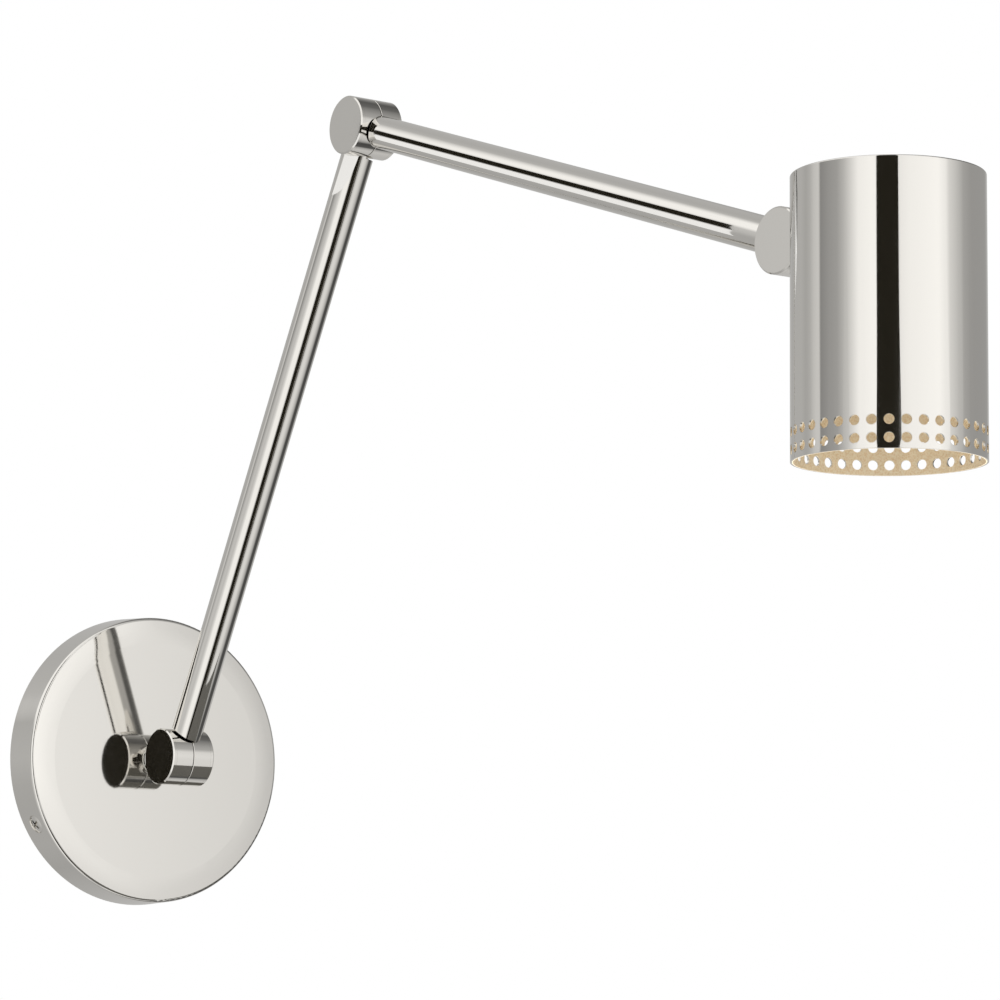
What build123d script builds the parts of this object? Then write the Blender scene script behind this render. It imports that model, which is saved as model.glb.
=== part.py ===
from build123d import *
from math import cos, radians, sin
import os

# Swing arm wall sconce in polished nickel: a round canopy, a swivelling neck, two tube arms
# and a perforated cylinder shade, joined by three identical friction knuckles.
#
# Frame, in millimetres: the wall is the plane Y = 0 and the sconce stands out towards -Y,
# +Z is up and X runs along the wall. The origin is the middle of the wall screws.
# The arms move in the plane X = 0. Each knuckle turns about an axis along X: its left half
# (-X) belongs to the member nearer the wall, its right half (+X) to the member it carries.

# ---- canopy and wall mounting ----
CANOPY_RADIUS = 60.3
CANOPY_EDGE_RADIUS = 59.6
CANOPY_EDGE_DEPTH = 15.0
CANOPY_DEPTH = 17.0
CANOPY_WALL = 1.5
SHOULDER_RADIUS = 58.3
SHOULDER_DEPTH = 16.5
FLAT_RADIUS = 49.0
SIDE_SCREW_ANGLES = (28.7, 208.7)
SIDE_SCREW_DEPTH = 9.0
SIDE_SCREW_RADIUS = 2.0
SIDE_SCREW_HEAD_RADIUS = 3.9
SIDE_SCREW_LENGTH = 9.0
SIDE_SCREW_SINK = 0.45
SIDE_SCREW_TURN = 35.0
SIDE_SCREW_DOME = 0.7

PLATE_RADIUS = 52.0
PLATE_OPENING_RADIUS = 28.0
PLATE_THICKNESS = 1.8
BOX_SCREW_SPACING = 79.4
BOX_SLOT_LENGTH = 14.4
BOX_SLOT_RADIUS = 2.4
TAB_WIDTH = 13.0
TAB_THICKNESS = 1.8
TAB_GAP = 0.3
GROUND_SCREW_RADIUS = 2.0
GROUND_SCREW_PLACE = (39.5, -18.5)
GROUND_SCREW_DOME = 1.6

# ---- swivel ----
STEM_RADIUS = 4.8
STEM_BORE_RADIUS = 3.5
STEM_END_DEPTH = 4.6
NECK_RADIUS = 6.1
NECK_FLANGE_RADIUS = 6.9
NECK_FLANGE = 0.9
NECK_FLARE = 0.8
NECK_SOCKET_RADIUS = 5.05
NECK_SOCKET_DEPTH = 4.2
BUSH_THICKNESS = 0.5
STOP_WASHER_RADIUS = 13.0
STOP_WASHER_STEP_RADIUS = 8.6
STOP_WASHER_THICKNESS = 1.5
SWIVEL_STOP_RADIUS = 10.8
SWIVEL_PIN_RADIUS = 1.5
SPRING_WASHER_HEIGHT = 1.2
SPRING_WASHER_STEEL = 0.5
SWIVEL_NUT_FLATS = 15.0
SWIVEL_NUT = 3.0

# ---- knuckles ----
KNUCKLE_DEPTH = 34.9
DRUM_RADIUS = 11.6
DRUM_HALF_LENGTH = 9.8
DRUM_CHAMFER = 0.5
SEAM_EASE = 0.15
SEAM_HALF_GAP = 0.15
CAP_THICKNESS = 1.7
CAP_PLUG = 1.4
SPIGOT_ROOT = 1.0
CAVITY_RADIUS = 9.3
WEB_THICKNESS = 1.9
BOLT_RADIUS = 3.8
BOLT_BORE_RADIUS = 2.6
BOLT_HEAD = 2.0
NUT_FLATS = 11.0
NUT_THICKNESS = 2.2
RUNNING_GAP = 0.05
DISC_RADIUS = 6.6
DISC_THICKNESS = 0.25
STOP_RADIUS = 7.9
STOP_PIN_RADIUS = 0.9
STOP_GROOVE_DEPTH = 1.2
STOP_GAP = 0.2
STOP_PIN_ANGLE = 90.0
WIRE_SLOT_LENGTH = 4.0
WIRE_SLOT_WIDTH = 2.0
WIRE_OFFSET = 3.1

# ---- arms ----
ARM_LENGTH = 276.0
ARM_TUBE_RADIUS = 6.45
ARM_TUBE_WALL = 1.1
SPIGOT_GAP = 0.05
SPIGOT_REACH = 25.0
OTHER_DRUM_GAP = 0.9
LOWER_ARM_LEAN = 28.4
UPPER_ARM_LEAN = 108.6
LEAD_RADIUS = 0.85
LEAD_SPREAD = 1.0
LEAD_END = 20.0

# ---- how far each knuckle turns from rest: (towards the wall or up, outwards or down) ----
LOWER_ARM_TRAVEL = (-27.0, 72.0)
ELBOW_TRAVEL = (-79.0, 30.0)
HEAD_TRAVEL = (-70.0, 90.0)

# ---- head ----
SHADE_RADIUS = 32.3
SHADE_WALL = 1.0
SHADE_ABOVE = 15.6
SHADE_BELOW = 79.7
SHADE_TOP_FILLET = 0.5
HEAD_REACH = 45.4
HOLE_RADIUS = 1.7
HOLES_AROUND = 36
HOLE_PHASE = 0.79
HOLE_ROW_HEIGHTS = (3.5, 9.35)
SHADE_STUD_RADIUS = 5.0
SADDLE_RADIUS = 8.0
SADDLE_THICKNESS = 2.5
SHADE_NUT_FLATS = 14.0
SHADE_NUT = 2.5
BRACKET_WIDTH = 15.0
BRACKET_THICKNESS = 1.5
BRACKET_DROP = 3.2
HOLDER_RADIUS = 9.5
HOLDER_LENGTH = 27.0
HOLDER_STUD_RADIUS = 3.0
HOLDER_STUD_BORE_RADIUS = 2.0
HOLDER_GAP = 0.05
HOLDER_BEVEL = 1.0
HOLDER_NUT_FLATS = 8.5
HOLDER_NUT = 2.2
HOLDER_STUD_PROUD = 0.8
BULB_BASE_RADIUS = 5.9
BULB_BASE_LENGTH = 22.0
BULB_RADIUS = 9.4
BULB_LENGTH = 43.0
BULB_TIP = 2.5
BULB_THREAD_PITCH = 2.54
BULB_THREAD_DEPTH = 0.6
GLASS_WALL = 0.7

# ---- frame of the arms ----
WALLWARD = Vector(0, 1, 0)
OUTWARD = Vector(0, -1, 0)
UP = Vector(0, 0, 1)
ALONG_AXLE = Vector(1, 0, 0)
LOWER_WAY = Vector(0, -sin(radians(LOWER_ARM_LEAN)), cos(radians(LOWER_ARM_LEAN)))
UPPER_WAY = Vector(0, -sin(radians(UPPER_ARM_LEAN)), cos(radians(UPPER_ARM_LEAN)))
BASE_PIVOT = Vector(0, -KNUCKLE_DEPTH, 0)
ELBOW_PIVOT = BASE_PIVOT + LOWER_WAY * ARM_LENGTH
HEAD_PIVOT = ELBOW_PIVOT + UPPER_WAY * ARM_LENGTH
SHADE_AXIS = HEAD_PIVOT + OUTWARD * HEAD_REACH

# ---- cutting tools: a length beyond every cut, and what a drill runs past a wall ----
FAR = 60.0
DRILL_OVERRUN = 2.0

# ---- cross recesses, as shares of the screw head's radius ----
CROSS_SPAN = 1.15
CROSS_WIDTH = 0.24
CROSS_DEPTH = 0.42

# ---- derived sizes ----
LEFT, RIGHT = -1, 1
WEB_END = SEAM_HALF_GAP + WEB_THICKNESS
CAP_JOINT = DRUM_HALF_LENGTH - CAP_THICKNESS
BORE_CLEAR = 0.02
BOLT_HOLE_RADIUS = BOLT_RADIUS + RUNNING_GAP
SEAT_RADIUS = DRUM_RADIUS + BORE_CLEAR
ARM_BORE_RADIUS = ARM_TUBE_RADIUS - ARM_TUBE_WALL
ARM_SPIGOT_RADIUS = ARM_BORE_RADIUS - SPIGOT_GAP
NECK_SPIGOT_RADIUS = NECK_SOCKET_RADIUS - SPIGOT_GAP
CLEAR_RADIUS = DRUM_RADIUS + OTHER_DRUM_GAP
INNER_WALL_REACH = HEAD_REACH - SHADE_RADIUS + SHADE_WALL
BRACKET_TOP = SHADE_ABOVE - SHADE_WALL - BRACKET_DROP


def rod(start, way, radius, length):
    """Solid cylinder that starts at a point and runs one way."""
    upright = Cylinder(radius, length, align=(Align.CENTER, Align.CENTER, Align.MIN))
    return Plane(origin=start, z_dir=way) * upright


def turned_about_x(points, side=RIGHT):
    """Turned piece on the X axis, from (distance along the axis, radius) points."""
    outline = Polyline(*[(side * along, radius) for along, radius in points], close=True)
    return revolve(make_face(outline), axis=Axis.X)


def turned_about_y(points):
    """Turned piece on the Y axis, from (radius, y) points."""
    return revolve(make_face(Polyline(*points, close=True)), axis=Axis.Y)


def turned_about_z(points):
    """Turned piece on the Z axis, from (radius, z) points."""
    return revolve(Plane.XZ * make_face(Polyline(*points, close=True)), axis=Axis.Z)


def ring(start, way, outer, inner, length):
    """Flat washer or tube that starts at a point and runs one way."""
    return rod(start, way, outer, length) - rod(start, way, inner, length)


def hex_nut(start, way, across_flats, bore, length):
    """Hexagon nut that starts at a point and runs one way."""
    plane = Plane(origin=start, z_dir=way)
    prism = plane * extrude(RegularPolygon(across_flats / 2, 6, major_radius=False), length)
    return prism - rod(start, way, bore, length)


def spring_washer(start, way, outer, inner):
    """Conical spring washer that stands with its inner edge at the start."""
    rise = SPRING_WASHER_HEIGHT - SPRING_WASHER_STEEL
    outline = [
        (inner, 0),
        (outer, rise),
        (outer, rise + SPRING_WASHER_STEEL),
        (inner, SPRING_WASHER_STEEL),
    ]
    return Plane(origin=start, z_dir=way) * turned_about_z(outline)


def cross_head_screw(shank, head, head_depth, dome, length):
    """Screw along +Z with a cross recess; Z = 0 is the rim of its countersunk head."""
    outline = make_face(
        [
            Line((0, -length), (shank, -length)),
            Line((shank, -length), (shank, -head_depth)),
            Line((shank, -head_depth), (head, 0)),
            RadiusArc((head, 0), (0, dome), -(head**2 + dome**2) / (2 * dome)),
            Line((0, dome), (0, -length)),
        ]
    )
    screw = revolve(Plane.XZ * outline, axis=Axis.Z)
    slot = Box(
        head * CROSS_SPAN, head * CROSS_WIDTH, head, align=(Align.CENTER, Align.CENTER, Align.MIN)
    )
    recess = Pos(0, 0, dome - head * CROSS_DEPTH) * slot
    return screw - recess - Rot(0, 0, 90) * recess


# ---- wall side ----
def canopy():
    """Spun cover: nearly straight side, crisp edge, soft shoulder and a flat face."""
    face_hole = STEM_RADIUS + RUNNING_GAP
    middle = (FLAT_RADIUS + SHOULDER_RADIUS) / 2
    crown = Bezier(
        (FLAT_RADIUS, -CANOPY_DEPTH), (middle, -CANOPY_DEPTH), (SHOULDER_RADIUS, -SHOULDER_DEPTH)
    )
    edge = TangentArc(
        (SHOULDER_RADIUS, -SHOULDER_DEPTH), (CANOPY_EDGE_RADIUS, -CANOPY_EDGE_DEPTH), tangent=crown % 1
    )
    inner_face = CANOPY_WALL - CANOPY_DEPTH
    inner_side = CANOPY_EDGE_RADIUS - CANOPY_WALL
    inner_shoulder = (inner_side, CANOPY_WALL - SHOULDER_DEPTH + CANOPY_WALL / 2)
    outline = make_face(
        [
            Line((face_hole, -CANOPY_DEPTH), crown @ 0),
            crown,
            edge,
            Line(edge @ 1, (CANOPY_RADIUS, 0)),
            Line((CANOPY_RADIUS, 0), (CANOPY_RADIUS - CANOPY_WALL, 0)),
            Line((CANOPY_RADIUS - CANOPY_WALL, 0), inner_shoulder),
            Line(inner_shoulder, (FLAT_RADIUS, inner_face)),
            Line((FLAT_RADIUS, inner_face), (face_hole, inner_face)),
            Line((face_hole, inner_face), (face_hole, -CANOPY_DEPTH)),
        ]
    )
    shell = revolve(outline, axis=Axis.Y)
    for angle in SIDE_SCREW_ANGLES:
        seat = side_screw_seat(angle)
        dimple = Cone(
            SIDE_SCREW_RADIUS + RUNNING_GAP,
            SIDE_SCREW_HEAD_RADIUS + RUNNING_GAP,
            CANOPY_WALL,
            align=(Align.CENTER, Align.CENTER, Align.MAX),
        )
        shaft = Cylinder(SIDE_SCREW_RADIUS + RUNNING_GAP, 2 * (CANOPY_WALL + DRILL_OVERRUN))
        mouth_radius = SIDE_SCREW_HEAD_RADIUS + RUNNING_GAP
        mouth = Cylinder(mouth_radius, CANOPY_WALL, align=(Align.CENTER, Align.CENTER, Align.MIN))
        shell -= seat * (dimple + shaft + mouth)
    return shell


def side_wall_radius(depth):
    """Outer radius of the canopy's side at a depth from the wall."""
    return CANOPY_RADIUS - (CANOPY_RADIUS - CANOPY_EDGE_RADIUS) * depth / CANOPY_EDGE_DEPTH


def side_screw_seat(angle):
    """Plane at a side screw: its origin is where the head's rim sits, Z points out."""
    way = Vector(cos(radians(angle)), 0, sin(radians(angle)))
    rim = side_wall_radius(SIDE_SCREW_DEPTH) - SIDE_SCREW_SINK
    return Plane(origin=way * rim + WALLWARD * -SIDE_SCREW_DEPTH, x_dir=WALLWARD, z_dir=way)


def canopy_screws():
    """The two cross-head screws that hold the canopy to the mounting plate."""
    screw = Rot(0, 0, SIDE_SCREW_TURN) * cross_head_screw(
        SIDE_SCREW_RADIUS, SIDE_SCREW_HEAD_RADIUS, CANOPY_WALL, SIDE_SCREW_DOME, SIDE_SCREW_LENGTH
    )
    return Compound([side_screw_seat(angle) * screw for angle in SIDE_SCREW_ANGLES])


def mounting_plate():
    """Steel ring for the wall box, with bent tabs that the canopy's side screws thread into."""
    plate = ring((0, -PLATE_THICKNESS, 0), WALLWARD, PLATE_RADIUS, PLATE_OPENING_RADIUS, PLATE_THICKNESS)
    inner_wall = side_wall_radius(CANOPY_EDGE_DEPTH) - CANOPY_WALL
    tab_face = inner_wall - TAB_GAP - TAB_WIDTH**2 / (8 * inner_wall)
    tab_height = CANOPY_EDGE_DEPTH - CANOPY_WALL
    for angle in SIDE_SCREW_ANGLES:
        way = Vector(cos(radians(angle)), 0, sin(radians(angle)))
        seat = Plane(origin=(0, 0, 0), x_dir=way, z_dir=OUTWARD)
        inner_end = PLATE_RADIUS - TAB_WIDTH
        tongue = Pos(inner_end, 0, 0) * Box(
            tab_face - inner_end, TAB_WIDTH, PLATE_THICKNESS, align=(Align.MIN, Align.CENTER, Align.MIN)
        )
        leaf = Pos(tab_face, 0, 0) * Box(
            TAB_THICKNESS, TAB_WIDTH, tab_height, align=(Align.MAX, Align.CENTER, Align.MIN)
        )
        plate += seat * (tongue + leaf)
        plate -= side_screw_seat(angle) * Cylinder(SIDE_SCREW_RADIUS + BORE_CLEAR, 4 * TAB_WIDTH)
    slot_outline = Plane.XZ * SlotOverall(BOX_SLOT_LENGTH, 2 * BOX_SLOT_RADIUS)
    slot = extrude(slot_outline, 2 * PLATE_THICKNESS, both=True)
    for side in (LEFT, RIGHT):
        plate -= Pos(side * BOX_SCREW_SPACING / 2, 0, 0) * slot
    x, z = GROUND_SCREW_PLACE
    ground_hole = rod((x, PLATE_THICKNESS, z), OUTWARD, GROUND_SCREW_RADIUS + BORE_CLEAR, FAR)
    return plate - ground_hole


def ground_screw():
    """Green washer-head screw for the earth wire, threaded into the mounting plate."""
    x, z = GROUND_SCREW_PLACE
    screw = cross_head_screw(
        GROUND_SCREW_RADIUS, 2 * GROUND_SCREW_RADIUS, BORE_CLEAR, GROUND_SCREW_DOME, PLATE_THICKNESS
    )
    head_rim = Vector(x, -PLATE_THICKNESS - BORE_CLEAR, z)
    return Plane(origin=head_rim, x_dir=UP, z_dir=OUTWARD) * screw


# ---- swivel ----
def swivel_bush():
    """Nylon washer between the neck's flange and the canopy."""
    return ring(
        (0, -CANOPY_DEPTH, 0), OUTWARD, NECK_FLANGE_RADIUS, STEM_RADIUS + RUNNING_GAP, BUSH_THICKNESS
    )


def swivel_neck():
    """Turned neck with a flange and a hollow stem that passes through the canopy."""
    flange_face = -(CANOPY_DEPTH + BUSH_THICKNESS + RUNNING_GAP)
    flange_top = flange_face - NECK_FLANGE
    neck = turned_about_y(
        [
            (STEM_BORE_RADIUS, -KNUCKLE_DEPTH),
            (NECK_RADIUS, -KNUCKLE_DEPTH),
            (NECK_RADIUS, flange_top - NECK_FLARE),
            (NECK_FLANGE_RADIUS, flange_top),
            (NECK_FLANGE_RADIUS, flange_face),
            (STEM_RADIUS, flange_face),
            (STEM_RADIUS, -STEM_END_DEPTH),
            (STEM_BORE_RADIUS, -STEM_END_DEPTH),
        ]
    )
    socket_depth = DRUM_RADIUS + NECK_SOCKET_DEPTH
    neck -= rod(BASE_PIVOT, WALLWARD, NECK_SOCKET_RADIUS, socket_depth)
    return neck - Pos(*BASE_PIVOT) * saddle_cutter(LEFT)


def swivel_friction_washer():
    """Nylon washer between the canopy's back and the stop washer."""
    start = (0, CANOPY_WALL - CANOPY_DEPTH + RUNNING_GAP, 0)
    return ring(start, WALLWARD, STOP_WASHER_STEP_RADIUS, STEM_RADIUS + BORE_CLEAR, BUSH_THICKNESS)


def stop_washer_start():
    """Where the stop washer begins, measured along Y."""
    return CANOPY_WALL - CANOPY_DEPTH + RUNNING_GAP + BUSH_THICKNESS


def swivel_stop_washer():
    """Washer whose wide half meets the stop pin at each end of the swivel's travel."""
    start = (0, stop_washer_start(), 0)
    hub = rod(start, WALLWARD, STOP_WASHER_STEP_RADIUS, STOP_WASHER_THICKNESS)
    wide = rod(start, WALLWARD, STOP_WASHER_RADIUS, STOP_WASHER_THICKNESS)
    below = SWIVEL_PIN_RADIUS + STOP_GAP
    lower_half = Pos(0, 0, below) * Box(
        FAR, FAR, FAR, align=(Align.CENTER, Align.CENTER, Align.MAX)
    )
    bore = rod(start, WALLWARD, STEM_RADIUS + BORE_CLEAR, STOP_WASHER_THICKNESS)
    return hub + (wide - lower_half) - bore


def swivel_stop_pin():
    """Pin riveted to the canopy's back, below the stem."""
    start = (0, CANOPY_WALL - CANOPY_DEPTH, -SWIVEL_STOP_RADIUS)
    length = RUNNING_GAP + BUSH_THICKNESS + STOP_WASHER_THICKNESS + SWIVEL_PIN_RADIUS
    return rod(start, WALLWARD, SWIVEL_PIN_RADIUS, length)


def swivel_spring_washer():
    """Spring washer that keeps the swivel's friction steady."""
    start = (0, stop_washer_start() + STOP_WASHER_THICKNESS, 0)
    return spring_washer(start, WALLWARD, STOP_WASHER_STEP_RADIUS, STEM_RADIUS + SPIGOT_GAP)


def swivel_nut():
    """Nut on the stem's threaded end."""
    start = (0, stop_washer_start() + STOP_WASHER_THICKNESS + SPRING_WASHER_HEIGHT, 0)
    return hex_nut(start, WALLWARD, SWIVEL_NUT_FLATS, STEM_RADIUS + BORE_CLEAR, SWIVEL_NUT)


# ---- knuckles ----
def room(side, first, radius):
    """Everything within a radius of the knuckle's axis, from one distance along it outwards."""
    return turned_about_x([(first, 0), (first, radius), (FAR, radius), (FAR, 0)], side)


def saddle_cutter(own_side):
    """What is cut from a member's end: its own drum's seat, and room over the other drum."""
    return room(own_side, SEAM_HALF_GAP, SEAT_RADIUS) + room(-own_side, -SEAM_HALF_GAP, CLEAR_RADIUS)


def drum(side, way, spigot_radius, spigot_end, travel=None):
    """One half of a knuckle with the spigot that holds its member, and a wire way into it."""
    shell = turned_about_x(
        [
            (SEAM_HALF_GAP, BOLT_HOLE_RADIUS),
            (SEAM_HALF_GAP, DRUM_RADIUS - SEAM_EASE),
            (SEAM_HALF_GAP + SEAM_EASE, DRUM_RADIUS),
            (CAP_JOINT, DRUM_RADIUS),
            (CAP_JOINT, CAVITY_RADIUS),
            (WEB_END, CAVITY_RADIUS),
            (WEB_END, BOLT_HOLE_RADIUS),
        ],
        side,
    )
    spigot = rod((0, 0, 0), way, spigot_radius, spigot_end)
    spigot -= room(side, SEAM_HALF_GAP, DRUM_RADIUS - SPIGOT_ROOT)
    spigot -= room(-side, -SEAM_HALF_GAP, CLEAR_RADIUS)
    slot_place = (side * WIRE_OFFSET, 0, 0)
    wire_way = Plane(origin=slot_place, x_dir=ALONG_AXLE.cross(way), z_dir=way)
    wire_slot = wire_way * extrude(SlotOverall(WIRE_SLOT_LENGTH, WIRE_SLOT_WIDTH), FAR)
    half = shell + spigot - wire_slot
    if travel is None:
        return half - stop_pin(BORE_CLEAR)
    return half - stop_groove(*travel)


def stop_groove(low, high):
    """Arc groove in a parent drum's web that lets the stop pin swing between two angles."""
    start, sweep = STOP_PIN_ANGLE + low, high - low
    width = STOP_PIN_RADIUS + STOP_GAP
    floor = SEAM_HALF_GAP + STOP_GROOVE_DEPTH
    outline = Polyline(
        (0, STOP_RADIUS - width),
        (-floor, STOP_RADIUS - width),
        (-floor, STOP_RADIUS + width),
        (0, STOP_RADIUS + width),
        close=True,
    )
    groove = Rot(start, 0, 0) * revolve(make_face(outline), axis=Axis.X, revolution_arc=sweep)
    for angle in (start, start + sweep):
        groove += Rot(angle, 0, 0) * rod((0, STOP_RADIUS, 0), ALONG_AXLE * LEFT, width, floor)
    return groove


def stop_pin(growth=0.0):
    """Dowel through a child drum's web that rides in the groove; growth makes its hole."""
    reach = SEAM_HALF_GAP + STOP_GROOVE_DEPTH - STOP_GAP
    length = WEB_END + reach
    angle = radians(STOP_PIN_ANGLE)
    start = (-reach, STOP_RADIUS * cos(angle), STOP_RADIUS * sin(angle))
    return rod(start, ALONG_AXLE, STOP_PIN_RADIUS + growth, length)


def drum_cap(side):
    """End cap with a chamfered rim and a plug that presses into the drum."""
    return turned_about_x(
        [
            (CAP_JOINT - CAP_PLUG, 0),
            (CAP_JOINT - CAP_PLUG, CAVITY_RADIUS - BORE_CLEAR),
            (CAP_JOINT, CAVITY_RADIUS - BORE_CLEAR),
            (CAP_JOINT, DRUM_RADIUS),
            (DRUM_HALF_LENGTH - DRUM_CHAMFER, DRUM_RADIUS),
            (DRUM_HALF_LENGTH, DRUM_RADIUS - DRUM_CHAMFER),
            (DRUM_HALF_LENGTH, 0),
        ],
        side,
    )


def pivot_bolt():
    """Hollow bolt through both drums, its hexagon head in the parent's cavity."""
    head_start = -(WEB_END + BOLT_HEAD)
    nut_end = WEB_END + RUNNING_GAP + SPRING_WASHER_HEIGHT + NUT_THICKNESS
    start = (head_start, 0, 0)
    head = hex_nut(start, ALONG_AXLE, NUT_FLATS, BOLT_BORE_RADIUS, BOLT_HEAD)
    return head + ring(start, ALONG_AXLE, BOLT_RADIUS, BOLT_BORE_RADIUS, nut_end - head_start)


def friction_disc():
    """Thin fibre disc in the seam between the two drums."""
    start = (-SEAM_HALF_GAP, 0, 0)
    return ring(start, ALONG_AXLE, DISC_RADIUS, BOLT_HOLE_RADIUS, DISC_THICKNESS)


def knuckle(name, pivot, parent, child, travel):
    """All pieces of one knuckle; parent and child are (way, spigot radius, spigot end)."""
    washer_start = (WEB_END + RUNNING_GAP, 0, 0)
    nut_start = (WEB_END + RUNNING_GAP + SPRING_WASHER_HEIGHT, 0, 0)
    nut_bore = BOLT_RADIUS + BORE_CLEAR
    pieces = {
        "left_drum": drum(LEFT, *parent, travel=travel),
        "left_cap": drum_cap(LEFT),
        "right_drum": drum(RIGHT, *child),
        "right_cap": drum_cap(RIGHT),
        "pivot_bolt": pivot_bolt(),
        "friction_disc": friction_disc(),
        "spring_washer": spring_washer(washer_start, ALONG_AXLE, DISC_RADIUS, BOLT_HOLE_RADIUS),
        "pivot_nut": hex_nut(nut_start, ALONG_AXLE, NUT_FLATS, nut_bore, NUT_THICKNESS),
        "stop_pin": stop_pin(),
    }
    return {f"{name}_{piece}": Pos(*pivot) * shape for piece, shape in pieces.items()}


# ---- arms ----
def arm_tube(start, end):
    """Straight tube between two pivots, saddle cut at both ends."""
    way = (end - start).normalized()
    tube = ring(start, way, ARM_TUBE_RADIUS, ARM_BORE_RADIUS, ARM_LENGTH)
    return tube - Pos(*start) * saddle_cutter(RIGHT) - Pos(*end) * saddle_cutter(LEFT)


def arm_leads(start, end):
    """The lamp wires inside an arm, from one spigot's wire slot to the other's."""
    way = (end - start).normalized()
    across = ALONG_AXLE.cross(way)
    leads = []
    for side in (LEFT, RIGHT):
        first = start + way * LEAD_END + ALONG_AXLE * WIRE_OFFSET + across * (side * LEAD_SPREAD)
        last = end - way * LEAD_END - ALONG_AXLE * WIRE_OFFSET + across * (side * LEAD_SPREAD)
        leads.append(rod(first, (last - first).normalized(), LEAD_RADIUS, (last - first).length))
    return Compound(leads)


# ---- head ----
def shade():
    """Spun cylinder with a closed, eased top and two rows of round holes near its mouth."""
    top, mouth = SHADE_ABOVE, -SHADE_BELOW
    outer = Pos(0, 0, mouth) * Cylinder(
        SHADE_RADIUS, top - mouth, align=(Align.CENTER, Align.CENTER, Align.MIN)
    )
    outer = fillet(outer.edges().group_by(Axis.Z)[-1], SHADE_TOP_FILLET)
    inside_height = top - mouth - SHADE_WALL
    inner = Pos(0, 0, mouth) * Cylinder(
        SHADE_RADIUS - SHADE_WALL, inside_height, align=(Align.CENTER, Align.CENTER, Align.MIN)
    )
    shell = outer - inner
    drills = []
    for height in HOLE_ROW_HEIGHTS:
        for turn in range(HOLES_AROUND):
            angle = radians((turn + HOLE_PHASE) * 360 / HOLES_AROUND)
            way = Vector(cos(angle), sin(angle), 0)
            start = way * (SHADE_RADIUS - SHADE_WALL - DRILL_OVERRUN) + UP * (mouth + height)
            drills.append(rod(start, way, HOLE_RADIUS, SHADE_WALL + 2 * DRILL_OVERRUN))
    shell -= drills
    shell -= rod((0, 0, 0), WALLWARD, SHADE_STUD_RADIUS + BORE_CLEAR, FAR)
    return Pos(*SHADE_AXIS) * shell


def shade_collar():
    """Short collar between the last drum and the shade, hollowed to fit both."""
    collar = ring((0, 0, 0), OUTWARD, NECK_RADIUS, SHADE_STUD_RADIUS + BORE_CLEAR, HEAD_REACH)
    around_shade = Pos(0, -HEAD_REACH, 0) * Cylinder(SHADE_RADIUS + BORE_CLEAR, FAR)
    return Pos(*HEAD_PIVOT) * (collar - around_shade - saddle_cutter(RIGHT))


def saddle_washer():
    """Washer with one side curved to the shade's inside and one side flat."""
    flat = INNER_WALL_REACH + SADDLE_THICKNESS
    blank = ring((0, 0, 0), OUTWARD, SADDLE_RADIUS, SHADE_STUD_RADIUS + BORE_CLEAR, flat)
    inside_shade = Pos(0, -HEAD_REACH, 0) * Cylinder(SHADE_RADIUS - SHADE_WALL - BORE_CLEAR, FAR)
    return Pos(*HEAD_PIVOT) * (blank & inside_shade)


def lamp_bracket():
    """Bent strap from the stud up and over the lampholder."""
    seat = INNER_WALL_REACH + SADDLE_THICKNESS
    beyond_axis = HEAD_REACH + BRACKET_WIDTH / 2
    upright = Pos(0, -seat, BRACKET_TOP) * Box(
        BRACKET_WIDTH,
        BRACKET_THICKNESS,
        BRACKET_TOP + BRACKET_WIDTH / 2,
        align=(Align.CENTER, Align.MAX, Align.MAX),
    )
    shelf = Pos(0, -seat, BRACKET_TOP) * Box(
        BRACKET_WIDTH,
        beyond_axis - seat,
        BRACKET_THICKNESS,
        align=(Align.CENTER, Align.MAX, Align.MAX),
    )
    strap = upright + shelf
    strap -= rod((0, 0, 0), OUTWARD, SHADE_STUD_RADIUS + BORE_CLEAR, HEAD_REACH)
    strap -= Pos(0, -HEAD_REACH, 0) * Cylinder(HOLDER_STUD_RADIUS + BORE_CLEAR, FAR)
    return Pos(*HEAD_PIVOT) * strap


def shade_nut():
    """Nut on the stud that clamps collar, shade, washer and bracket together."""
    start = HEAD_PIVOT + OUTWARD * (INNER_WALL_REACH + SADDLE_THICKNESS + BRACKET_THICKNESS)
    return hex_nut(start, OUTWARD, SHADE_NUT_FLATS, SHADE_STUD_RADIUS + BORE_CLEAR, SHADE_NUT)


def lampholder():
    """Moulded candelabra holder that hangs from the bracket, open downwards."""
    top = BRACKET_TOP - BRACKET_THICKNESS
    body = turned_about_z(
        [
            (HOLDER_STUD_RADIUS + BORE_CLEAR, top),
            (HOLDER_RADIUS - HOLDER_BEVEL, top),
            (HOLDER_RADIUS, top - HOLDER_BEVEL),
            (HOLDER_RADIUS, top - HOLDER_LENGTH),
            (BULB_BASE_RADIUS + BORE_CLEAR, top - HOLDER_LENGTH),
            (BULB_BASE_RADIUS + BORE_CLEAR, top - HOLDER_LENGTH + BULB_BASE_LENGTH),
            (HOLDER_STUD_RADIUS + BORE_CLEAR, top - HOLDER_LENGTH + BULB_BASE_LENGTH),
        ]
    )
    return Pos(*SHADE_AXIS) * body


def holder_stud():
    """Hollow stud that passes the wires and carries the lampholder."""
    bottom = BRACKET_TOP - BRACKET_THICKNESS - HOLDER_LENGTH + BULB_BASE_LENGTH
    length = BRACKET_TOP + HOLDER_NUT + HOLDER_STUD_PROUD - bottom
    start = SHADE_AXIS + UP * bottom
    return ring(start, UP, HOLDER_STUD_RADIUS, HOLDER_STUD_BORE_RADIUS, length)


def holder_nut():
    """Nut that holds the stud on top of the bracket."""
    start = SHADE_AXIS + UP * BRACKET_TOP
    return hex_nut(start, UP, HOLDER_NUT_FLATS, HOLDER_STUD_RADIUS + BORE_CLEAR, HOLDER_NUT)


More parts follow.
